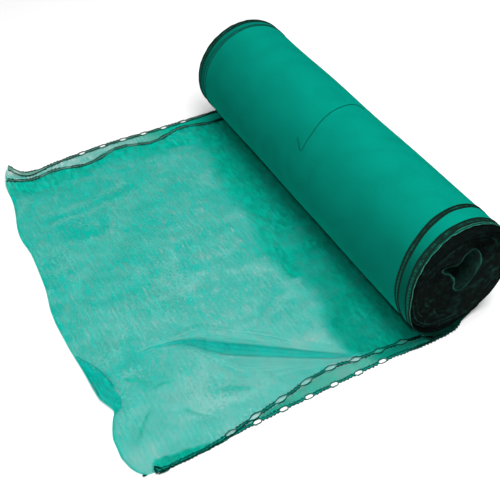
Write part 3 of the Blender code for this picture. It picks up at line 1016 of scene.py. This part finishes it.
def tube(centre, normal, half_width, half_height, **fields):
    """Closed oval tube along a line of points.

    Point (i, j) = centre + across * half width * cos(a) + up * half height * sin(a), where
    a = 2 pi j / sides, across = tangent x normal and up = across x tangent.
    """
    tangent = unit(np.gradient(centre, axis=0))
    across = unit(np.cross(tangent, normal))
    up = np.cross(across, tangent)
    turn = 2 * math.pi * np.arange(TUBE_SIDES) / TUBE_SIDES
    wide = np.asarray(half_width).reshape(-1, 1, 1) * across[:, None, :] * np.cos(turn)[None, :, None]
    high = np.asarray(half_height).reshape(-1, 1, 1) * up[:, None, :] * np.sin(turn)[None, :, None]
    steps = np.linalg.norm(np.diff(centre, axis=0), axis=1)
    run = np.concatenate([[0.0], np.cumsum(steps)])[:, None]
    round_tube = np.arange(TUBE_SIDES + 1) / TUBE_SIDES
    return grid(centre[:, None, :] + wide + high, run, round_tube, closed=True, capped=True, **fields)


def band_y(x, side, upper):
    """Y of the middle line of one of the loose end's four eyelet bands."""
    return soft_along(BAND_LINES[side, upper], x)


def eyelet_opening(x, side, upper):
    """Half a band's opening: w / 2 * (1 - (2 d / l)^b) at a distance d from the nearest eyelet's middle.

    The eyelets are nearly shut towards the free corners, under the roll and all along the far upper band.
    """
    place = x - FIRST_EYELET_X
    length, width, blunt = UPPER_EYELET if upper else LOWER_EYELET
    if upper:
        slip, most_at, reach = EYELET_SLIP
        place = place - slip * bell(place, most_at, reach)
        opened = SHUT_FAR if side > 0 else SHUT_UPPER + (1 - SHUT_UPPER) * fade(x, *UPPER_OPEN_FROM)
    else:
        opened = (SHUT_LOWER + (1 - SHUT_LOWER) * fade(x, *LOWER_OPEN_FROM)) * (1 - fade(x, *LOWER_OPEN_TO))
    away = np.abs((place / EYELET_PITCH + 0.5) % 1.0 - 0.5) * EYELET_PITCH
    return width / 2 * np.clip(1 - (2 * away / length) ** blunt, 0.0, 1.0) * opened


def rail_aside(x, side, upper):
    """How far a rail's middle lies from the band's: beside the eyelet, or a little uneven between two.

    The far lower band's rails are also spread apart at its curled corner.
    """
    place = x - FIRST_EYELET_X
    uneven = RAIL_ASIDE * (1 + 0.18 * np.sin(place / 0.0107 + 1) * np.sin(place / 0.0241))
    spread = FAR_CORNER_SPREAD * (1 - fade(x, *FAR_CORNER_FROM)) * (side > 0 and not upper)
    return np.maximum(eyelet_opening(x, side, upper) + RAIL_HALF_WIDTH, uneven) + spread


def rail_pair(x, middle, across, normal, side, upper):
    """Two knotty rails along a band's middle line, and the web between them.

    The web is two strips, each from the eyelet's edge (or the band's middle) to the middle of its rail.
    Knots swell a rail outward by the square of a cosine, except beside an eyelet.
    """
    place = x - FIRST_EYELET_X
    aside, inner = rail_aside(x, side, upper), eyelet_opening(x, side, upper)
    count = np.arange(len(x))
    taper = np.clip(0.25 + np.minimum(count, count[::-1]) / 3, 0.0, 1.0)
    wide = RAIL_HALF_WIDTH * (FAR_RAIL_WIDER if side > 0 else 1.0)
    parts = []
    for sign in (1, -1):
        knots = np.cos(2 * math.pi * place / KNOT_PITCH + 1.9 * sign + 1.5 * np.sin(place / 0.031))
        knots = np.maximum(0.0, knots) * (1 - fade(inner, 0.0, KNOT_FADE))
        stitch = 1 + STITCH_RELIEF * np.cos(2 * math.pi * place / STITCH_LENGTH + sign)
        half = wide * stitch * (0.80 + KNOT_SWELL * knots**2) * taper
        wander = RAIL_WANDER * np.abs(np.sin(place / 0.0031 + 3 * sign) * np.sin(place / 0.0123 + sign))
        centre = middle + across * (sign * (aside - RAIL_HALF_WIDTH + half + wander))[:, None]
        edges = np.stack([inner, (inner + aside) / 2, aside], axis=1) * sign
        points = middle[:, None] + across[:, None] * edges[..., None]
        parts.append(tube(centre, normal, half, RAIL_HALF_HEIGHT * taper, web=0.0))
        parts.append(grid(points, place[:, None], edges / WEB_UNIT, flip=sign > 0, web=1.0))
    return parts


def band_on_floor(side, upper, material):
    """Rails of one band of the loose end, on its layer, from the free end to under the roll."""
    place = f"{'far' if side > 0 else 'near'}_{'upper' if upper else 'lower'}"
    height = upper_height if upper else lower_height
    setback = FAR_BAND_END if side > 0 else NEAR_BAND_END
    start = float(free_end_x(band_y(FIRST_EYELET_X, side, upper))) + setback
    x = np.arange(start, BAND_ROOT_X, STITCH_LENGTH / STITCH_STEPS)
    y = band_y(x, side, upper)
    z = np.maximum(height(x, y) + BAND_PROUD, RAIL_HALF_HEIGHT)
    middle = np.stack([x, y, z], axis=1)
    tangent = unit(np.gradient(middle, axis=0))
    across = unit(np.cross(UP, tangent))
    rails = rail_pair(x, middle, across, np.cross(tangent, across), side, upper)
    return add_piece(f"{place}_band", rails, material, "band", f"eyelet_band_{place}")


def build_corner_threads(material):
    """Loose ends of the near bands at the free corner: a loop and two short ends, on the net."""
    threads = []
    for path in CORNER_THREADS:
        at = np.linspace(0, len(path) - 1, 12 * len(path))
        x, y = (np.interp(at, np.arange(len(path)), column) for column in np.array(path).T)
        points = np.stack([x, y, upper_height(x, y) + CORNER_THREAD_PROUD], axis=1)
        width = CORNER_THREAD * (1 + 0.35 * np.sin(at * 2.3))
        threads.append(tube(points, UP, width, CORNER_THREAD_HALF_HEIGHT, web=0.0))
    return add_piece("near_corner_threads", threads, material, "band")


def band_on_roll(name, ring, width, rail_half, material):
    """One band of the outer turn, once round the roll: a tape with a raised dark rail along each edge.

    Height at a distance d from the middle: rise * (1 - ((d - e) / r)^2) over each rail, whose middle lies at
    e = width / 2 * (1 + slow uneven part), and a thin tape between them.
    """
    angle = once_round(int(2 * math.pi * ROLL_RADIUS / (STITCH_LENGTH / STITCH_STEPS)))
    middle, normal = on_skin(angle, ring_y(ring, angle), 0.0)
    across = unit(np.cross(normal, unit(np.gradient(middle, axis=0))))
    run = ROLL_RADIUS * angle
    half = width / 2 * (1 + 0.16 * np.sin(run / 0.021) * np.sin(run / 0.0347 + 1))
    rail = rail_half * (1 + STITCH_RELIEF * np.cos(2 * math.pi * run / STITCH_LENGTH))
    bow = np.linspace(-1, 1, 7)
    place = np.concatenate([bow - 2, np.linspace(-0.9, 0.9, 7), bow + 2])
    is_rail = np.abs(place) >= 1
    on_rail = place - 2 * np.sign(place)
    over_rail = np.sign(place) * half[:, None] + on_rail * rail[:, None]
    aside = np.where(is_rail, over_rail, place * (half - rail)[:, None])
    hump = np.where(is_rail, 1 - on_rail**2, 0.0)
    lift = TAPE_PROUD + TAPE_RISE * hump - TAPE_EDGE_DROP * (np.abs(place) > 2.99)
    points = middle[:, None] + across[:, None] * aside[..., None] + normal[:, None] * lift[..., None]
    return add_piece(name, [grid(points, run[:, None], place)], material, "band")


def selvedge_on_roll(name, ring, out, proud, material):
    """The outer turn's edge: a thin uneven cord round the roll, out from its line and proud of the turn."""
    angle = once_round(SELVEDGE_POINTS)
    middle, normal = on_skin(angle, ring_y(ring, angle), proud)
    middle[:, 1] += out + SELVEDGE_WAVER * np.sin(23 * angle + 200 * out) * np.sin(9 * angle + 1)
    width = SELVEDGE_HALF_WIDTH * (1 + 0.35 * np.sin(31 * angle + 200 * out) * np.sin(13 * angle))
    return add_piece(name, [tube(middle, normal, width, SELVEDGE_HALF_HEIGHT)], material, "net")


def build_snagged_thread(material):
    """A dark thread that lies loosely on the outer turn: a smooth line through the table's places."""
    share = np.linspace(0, 1, SNAG_POINTS)
    knots = np.linspace(0, 1, len(SNAGGED_THREAD))
    degrees, y = (soft_along(list(zip(knots, column)), share, 0.03) for column in np.array(SNAGGED_THREAD).T)
    points, normal = on_skin(np.radians(degrees), y, SNAG_PROUD)
    return add_piece("snagged_thread", [tube(points, normal, SNAG_RADIUS, SNAG_RADIUS)], material, "band")


# The loose end

def free_end_x(y):
    """X of the folded free end at a place across the sheet."""
    return soft_along(FREE_END, y, 0.005)


def swells(x, y, height, pitch, seed):
    """Slow swells of the sheet, which end before the roll."""
    return height * (0.5 + 0.5 * cloud(x, y, pitch, seed)).clip(0, 1) * fade(-x, 0.10, 0.20)


def lower_height(x, y):
    """Height of the lower layer: slow swells, and a curl of lift * (1 - d / reach)^3, d from the corner."""
    away = np.hypot(x - CORNER[0], y - CORNER[1]) / CORNER_REACH
    curl = CORNER_LIFT * np.clip(1 - away, 0.0, 1.0) ** 3
    return LAYER_BASE + swells(x, y, SWELL_HEIGHT, SWELL_PITCH, 11) + curl


def crease_shape(x, y):
    """Soft ridges exp(-(d / w)^2) at a distance d from each short crease, from 0 to 1."""
    total = 0.0
    for x0, y0, x1, y1, bend in CREASES:
        long = math.hypot(x1 - x0, y1 - y0)
        way = ((x1 - x0) / long, (y1 - y0) / long)
        run = (x - x0) * way[0] + (y - y0) * way[1]
        aside = (y - y0) * way[0] - (x - x0) * way[1] - bend * np.sin(math.pi * np.clip(run / long, 0, 1))
        ends = fade(run, 0.0, 0.02) * fade(long - run, -0.02, 0.02)
        total = total + ends * bell(aside, 0.0, CREASE_WIDTH)
    return total


def pleat_place(x, y):
    """Signed distance across the pleat over its reach, the reach, and the pleat's direction across."""
    x_of, y_of, widths = np.array(PLEAT).T
    line = list(zip(x_of, y_of))
    slope = (soft_along(line, x + 0.02, 0.02) - soft_along(line, x - 0.02, 0.02)) / 0.04
    level = np.hypot(1, slope)
    reach = soft_along(list(zip(x_of, widths)), x, 0.02) * PLEAT_REACH_OF_WIDTH + 1e-5
    return (y - soft_along(line, x, 0.02)) / level / reach, reach, -slope / level, 1 / level


def upper_height(x, y):
    """Height of the upper layer: the lower one's, plus the pleat, the creases and the far edge's ruffles."""
    aside, reach, _, _ = pleat_place(x, y)
    raised = fade(aside, -0.62, 0.62) * (1 - fade(aside, 0.9, 2.4))
    soft_streaks = 0.3 * bell(aside, 1.1, 0.22) + 0.3 * bell(aside, -1.3, 0.3)
    pleat = PLEAT_RISE * fade(reach, 0.002, 0.012) * (raised + soft_streaks)
    wave = 0.5 + 0.5 * np.cos(2 * math.pi * (x - RUFFLE_X) / RUFFLE_PITCH)
    edge = band_y(x, 1, True)
    ruffle = RUFFLE_HEIGHT * wave * fade(y, edge - RUFFLE_REACH, edge) * fade(-x, 0.06, 0.16)
    own = swells(x, y, UPPER_SWELL_HEIGHT, UPPER_SWELL_PITCH, 23)
    away = fade(x - free_end_x(y), 0.0, 0.06)
    forms = pleat + CREASE_HEIGHT * crease_shape(x, y) + ruffle + own
    return lower_height(x, y) + LAYER_RISE + away * forms


def layer_edges(x, upper):
    """Y of a layer's near and far edges, which run along the inner rails and round the eyelets."""
    return [band_y(x, side, upper) - side * rail_aside(x, side, upper) for side in (-1, 1)]


def layer_plan(stations, upper):
    """X and Y of one layer: rows from the roll (station 0) to the free end (station 1), columns across.

    The columns lie closer together where the pleat is. The free end's place depends on y and the edges' on
    x, so the two are worked out in turns.
    """
    pleated = np.linspace(0.0, PLEAT_SHARE, PLEAT_COLUMNS)
    shares = np.concatenate([pleated, np.linspace(PLEAT_SHARE, 1.0, FAR_COLUMNS + 1)[1:]])
    near, far = layer_edges(np.full((len(stations), 1), PLAN_GUESS), upper)
    y = near + (far - near) * shares[None, :]
    for _ in range(PLAN_PASSES):
        x = ROOT_X + (free_end_x(y) + LAYER_RISE - ROOT_X) * stations[:, None]
        near, far = layer_edges(x, upper)
        y = near + (far - near) * shares[None, :]
    return x, y


def free_end_turn(lower_row, upper_row):
    """Rows that join the layers' last rows at the free end, where a strip of both is turned over.

    Plain columns follow a half circle. In the turned strip the path goes round the outside, in over the top,
    back under it and round the inside. The two are mixed by how wide the strip is.
    """
    rows = TURN_ROWS * 3 + FLAP_ROWS * 2
    half_turn = math.pi * np.linspace(0, 1, rows + 2)[1:-1, None]
    start, stop = lower_row[None], upper_row[None]
    plain = start + (stop - start) * ((1 - np.cos(half_turn)) / 2)[..., None]
    plain[..., 0] -= LAYER_RISE * np.sin(half_turn)
    y = plain[..., 1]
    width = soft_along(TURNED_STRIP, y[:1], 0.004) + TURNED_LEAST
    edge = free_end_x(y[:1])
    low, high = start[..., 2], stop[..., 2]
    under, top = high + TURNED_RISE, high + 2 * TURNED_RISE
    arc = np.linspace(0, math.pi, TURN_ROWS)[:, None]
    arc_share = (1 - np.cos(arc)) / 2
    flat = np.linspace(0, 1, FLAP_ROWS)[:, None]
    path_x = np.concatenate([
        edge + LAYER_RISE * (1 - np.sin(arc)),
        edge + LAYER_RISE + (width - LAYER_RISE) * flat,
        edge + width + TURNED_RISE / 2 * np.sin(arc),
        edge + width + (LAYER_RISE - width) * flat,
        edge + LAYER_RISE - TURNED_RISE / 2 * np.sin(arc),
    ])
    path_z = np.concatenate([
        low + (top - low) * arc_share,
        top + 0 * flat,
        top + (under - top) * arc_share,
        under + 0 * flat,
        under + (high - under) * arc_share,
    ])
    turned = np.stack([path_x, np.broadcast_to(y, path_x.shape), path_z], axis=2)
    mixed = fade(width - TURNED_LEAST, 0.0, 0.006)[..., None]
    return plain + (turned - plain) * mixed


def corner_patch(x, y):
    """Denser patch along the near bands at the free corner, from 0 to 1."""
    reach = soft_along(NEAR_CORNER_DENSE, x, 0.004) * (1 + 0.12 * cloud(x, y, 0.03, 61))
    from_band = y - band_y(x, -1, False)
    return (1 - fade(from_band, reach - 0.003, reach + 0.004)) * fade(reach, 0.0, 0.010)


def net_cover(x, y, upper):
    """How dense the net looks.

    It is uneven, and fuller beside the roll, by the far bands, at the fold, in the creases and in the strip
    between the near bands.
    """
    finer = 0.045 + 0.035 * fade(y, -0.40, -0.10)
    uneven = 0.10 + 0.08 * cloud(x * 0.5, y, 0.12, 31) + finer * cloud(x, y, 0.042, 37)
    uneven = uneven + 0.24 * fade(y - 0.5 * x, -0.15, 0.70) - 0.08 * fade(-y, 0.25, 0.45)
    edge = soft_along(BESIDE_ROLL, y, 0.004) + 0.004 * cloud(x, y, 0.05, 43)
    denser = BESIDE_COVER + 0.22 * fade(-y, 0.15, 0.40) + 0.14 * cloud(x, y, 0.09, 41)
    beside = fade(x, edge - 0.024, edge + 0.020) * denser
    beyond = y - band_y(x, 1, True)
    dense = soft_along(FAR_DENSE, x, 0.03) * (1 + 0.25 * cloud(x, y, 0.08, 47))
    far = FAR_COVER * (1 - fade(-beyond, dense * 0.55, dense * 1.1))
    cover = uneven + np.maximum(beside, far) + CORNER_COVER * corner_patch(x, y)
    cover = cover + FREE_END_COVER * (1 - fade(x - free_end_x(y), 0.002, 0.008))
    if upper:
        cover = cover + CREASE_COVER * crease_shape(x, y)
    else:
        strip = band_y(x, -1, True) - 0.003 - y
        cover = cover + NEAR_STRIP_COVER * fade(strip, 0.0, 0.003) * (0.65 + 0.35 * fade(-x, 0.30, 0.50))
        cover = cover - fade(beyond, 0.0, 0.01) * (0.45 - 1.5 * fade(x, -0.40, -0.20))
    return np.clip(cover, *COVER_LIMITS)


def upper_shades(x, y):
    """Darker tone of the upper layer: beside the roll, partly for the layers under it and partly a painted
    shade of the roll; in the creases; and at the near free corner.
    """
    edge = soft_along(BESIDE_ROLL, y, 0.004)
    first_layers = (1 - fade(x, edge + 0.03, edge + 0.10)) * fade(-y, -0.05, 0.22)
    # Beside the roll: partly the layers under the sheet, partly a painted shade of the roll, most towards the
    # region's outer edge
    beside = 0.11 + 0.20 * fade(-y, 0.12, 0.40) + 0.17 * first_layers
    beside = beside * fade(x, edge - 0.020, edge + 0.020) * (1 - fade(x, -0.20, -0.14))
    return np.maximum.reduce([0.12 * crease_shape(x, y), beside, 0.24 * corner_patch(x, y)])


def lower_shades(x, y):
    """Darker tone of the lower layer where it shows past the upper one's far and near bands; in the near strip
    a painted shade of the roll grows towards it.
    """
    far_strip = FAR_STRIP_SHADE * fade(y - band_y(x, 1, True), 0.0, 0.01)
    # The near strip: a darker tone, more towards the free end, and a painted shade of the roll from about x =
    # -0.23 on
    near_strip = 0.38 + 0.16 * fade(-x, 0.38, 0.48) + 0.40 * fade(x, -0.23, -0.18)
    return np.maximum(far_strip, near_strip * fade(band_y(x, -1, True) - y, 0.003, 0.006))


def layer_uv(x, y, upper):
    """Across and along of the knit: the layers differ by a slow shift, so their threads beat together."""
    across, along_net = y, x
    if upper:
        across = y + SHIFT_OF_LAYERS * cloud(x * 0.45, y, SHIFT_PITCH, 53)
        along_net = x + SHIFT_OF_LAYERS * 0.5 * cloud(x, y, SHIFT_PITCH, 59)
    return np.stack([across, along_net], axis=2)


def turn_looks(start, turn, lower_uv, upper_uv, lower_cover, upper_cover):
    """UV and cover of the turn's rows, between the last row of the lower layer and the first of the upper.

    UV runs on from the lower layer by the distance along the turn, and slips over to the upper layer's on
    the hidden inner rows. Cover goes over evenly, and the turned strip has its own.
    """
    rows = len(turn)
    path = np.concatenate([start[None], turn])
    run = np.cumsum(np.linalg.norm(np.diff(path, axis=0), axis=2), axis=0)
    outside_uv = lower_uv - run[..., None] * np.array([0.0, 1.0])
    hidden = fade(np.arange(rows), TURN_ROWS + FLAP_ROWS, rows)[:, None, None]
    cover = lower_cover + (upper_cover - lower_cover) * np.linspace(0, 1, rows)[:, None]
    turned = fade(soft_along(TURNED_STRIP, turn[..., 1], 0.004), 0.0, 0.012)
    return outside_uv + (upper_uv - outside_uv) * hidden, cover + (TURNED_COVER - cover) * turned


def build_loose_end(material):
    """The doubled loose end as one sheet: lower layer out, turn at the free end, upper layer back."""
    close_in = 1 - np.linspace(1.0, 0.0, LOWER_ROWS) ** 1.3
    x, y = layer_plan(close_in, upper=False)
    lower = np.stack([x, y, lower_height(x, y)], axis=2)
    lower_cover, lower_uv = net_cover(x, y, upper=False), layer_uv(x, y, upper=False)
    x, y = layer_plan(np.linspace(1.0, 0.0, UPPER_ROWS), upper=True)
    upper_uv = layer_uv(x, y, upper=True)
    aside, reach, across_x, across_y = pleat_place(x, y)
    pleated = fade(reach, 0.002, 0.010) * (np.abs(aside) < 3.5)
    thinner = 0.28 * bell(aside, 0.42, 0.30) + 0.40 * bell(aside, 0.52, 0.11) + 0.20 * bell(aside, -1.1, 0.6)
    upper_cover = net_cover(x, y, upper=True) - pleated * thinner
    drawn = -PLEAT_FOLD * reach * aside * bell(aside, 0.0, 1.0)
    upper = np.stack([x + drawn * across_x, y + drawn * across_y, upper_height(x, y)], axis=2)
    turn = free_end_turn(lower[-1], upper[0])
    rows = len(turn)
    ends = (lower_uv[-1], upper_uv[0], lower_cover[-1], upper_cover[0])
    turn_uv, turn_cover = turn_looks(lower[-1], turn, *ends)
    points = np.concatenate([lower, turn, upper])
    place_x, place_y = points[..., 0], points[..., 1]
    # Painted shadow of the sheet under the roll, from its contact line in; past 1 it turns black
    under_roll_shadow = place_x - 0.016 * fade(-place_y, 0.47, 0.50)
    shade = UNDER_ROLL_SHADE * fade(under_roll_shadow, -0.094, -0.082)
    shade[-UPPER_ROWS:] = np.maximum(shade[-UPPER_ROWS:], upper_shades(x, y))
    shade[:-UPPER_ROWS] = np.maximum(shade, lower_shades(place_x, place_y))[:-UPPER_ROWS]
    plain = np.zeros((LOWER_ROWS + rows, x.shape[1]))
    fields = {
        "cover": np.concatenate([lower_cover, turn_cover, upper_cover]),
        "layer": np.concatenate([np.zeros((LOWER_ROWS, 1)), np.ones((rows + UPPER_ROWS, 1))]),
        "shade": shade,
        "fold": np.concatenate([plain, pleated]),
        "fold_place": np.concatenate([plain, np.clip(aside, -4, 4)]),
    }
    across, along_net = np.moveaxis(np.concatenate([lower_uv, turn_uv, upper_uv]), 2, 0)
    net = grid(points, across, along_net, **fields)
    piece = add_piece("loose_end_net", [net], material, "net", "loose_end")
    flat_faces(piece, (fields["fold"] > 0.02) & (np.abs(fields["fold_place"]) < 0.85))
    return piece


# Floor, light and camera

def aim(thing, place, target):
    """Puts a camera or a light at a place, looking at a target."""
    way = np.array(target, float) - np.array(place, float)
    tilt = math.atan2(way[2], math.hypot(way[0], way[1]))
    thing.location = place
    thing.rotation_euler = (math.pi / 2 + tilt, 0.0, math.atan2(way[1], way[0]) - math.pi / 2)


def add_light(name, place, size, power):
    """A square soft light that looks at the object."""
    data = bpy.data.lights.new(name, "AREA")
    data.size = size
    data.energy = power
    aim(place_object(name, data), place, LIGHT_TARGET)


def build_studio():
    """Pale floor, one large soft light above, a weak low one on the -X side, and an even pale surround."""
    mesh = bpy.data.meshes.new("floor")
    corners = ((-1, -1), (1, -1), (1, 1), (-1, 1))
    mesh.from_pydata([(x * FLOOR_HALF, y * FLOOR_HALF, FLOOR_Z) for x, y in corners], [], [(0, 1, 2, 3)])
    mesh.materials.append(floor_finish())
    floor = place_object("floor", mesh)
    add_light("key light", KEY_PLACE, KEY_SIZE, KEY_POWER)
    add_light("fill light", FILL_PLACE, FILL_SIZE, FILL_POWER)
    world = bpy.data.worlds.new("studio")
    world.use_nodes = True
    background = world.node_tree.nodes["Background"]
    background.inputs["Color"].default_value = (1.0, 1.0, 1.0, 1.0)
    background.inputs["Strength"].default_value = WORLD_STRENGTH
    bpy.context.scene.world = world
    bpy.context.scene.view_settings.view_transform = "Standard"


def build_camera():
    """The photograph's view."""
    data = bpy.data.cameras.new("camera")
    data.lens = CAMERA_LENS
    data.sensor_width = 36.0
    camera = place_object("camera", data)
    aim(camera, CAMERA_PLACE, CAMERA_TARGET)
    bpy.context.scene.camera = camera


def main():
    """Builds the studio, the roll with its bands and ends, and the loose end with its own bands."""
    build_studio()
    build_camera()
    wound = wound_net_finish()
    near_rails = rail_finish("near band stitches", *NEAR_UPPER_WEB)
    near_lower_rails = rail_finish("near lower band stitches", *NEAR_LOWER_WEB, wear=0.10)
    far_rails = rail_finish("far band stitches", *FAR_WEB)
    ends = roll_end_finish()
    sheer = sheer_net_finish()
    pale = thread_finish("pale selvedge", SELVEDGE_DARK, SELVEDGE_PALE)
    dark = thread_finish("dark thread", THREAD_GREEN)
    build_skin(wound)
    build_roll_end("near_roll_end", -1, NEAR_SELVEDGE_RING, NEAR_END_ROWS, ends)
    build_roll_end("far_roll_end", 1, FAR_SELVEDGE_RING, FAR_END_ROWS, ends)
    build_lining(ends)
    near_tape = tape_finish("near band tape", *NEAR_TAPE)
    far_tape = tape_finish("far band tape", *FAR_TAPE)
    band_on_roll("near_inset_band", NEAR_INSET_RING, NEAR_INSET_WIDTH, NEAR_TAPE_RAIL, near_tape)
    band_on_roll("near_edge_band", NEAR_EDGE_RING, NEAR_EDGE_WIDTH, NEAR_TAPE_RAIL, near_tape)
    band_on_roll("far_inset_band", FAR_INSET_RING, FAR_INSET_WIDTH, FAR_TAPE_RAIL, far_tape)
    band_on_roll("far_edge_band", FAR_EDGE_RING, FAR_EDGE_WIDTH, NEAR_TAPE_RAIL, near_tape)
    for name, ring, out, proud in SELVEDGES:
        selvedge_on_roll(name, ring, out, proud, pale)
    build_snagged_thread(dark)
    build_corner_threads(near_rails)
    net = build_loose_end(sheer)
    bands = [
        band_on_floor(-1, False, near_lower_rails),
        band_on_floor(-1, True, near_rails),
        band_on_floor(1, False, far_rails),
        band_on_floor(1, True, far_rails),
    ]


main()
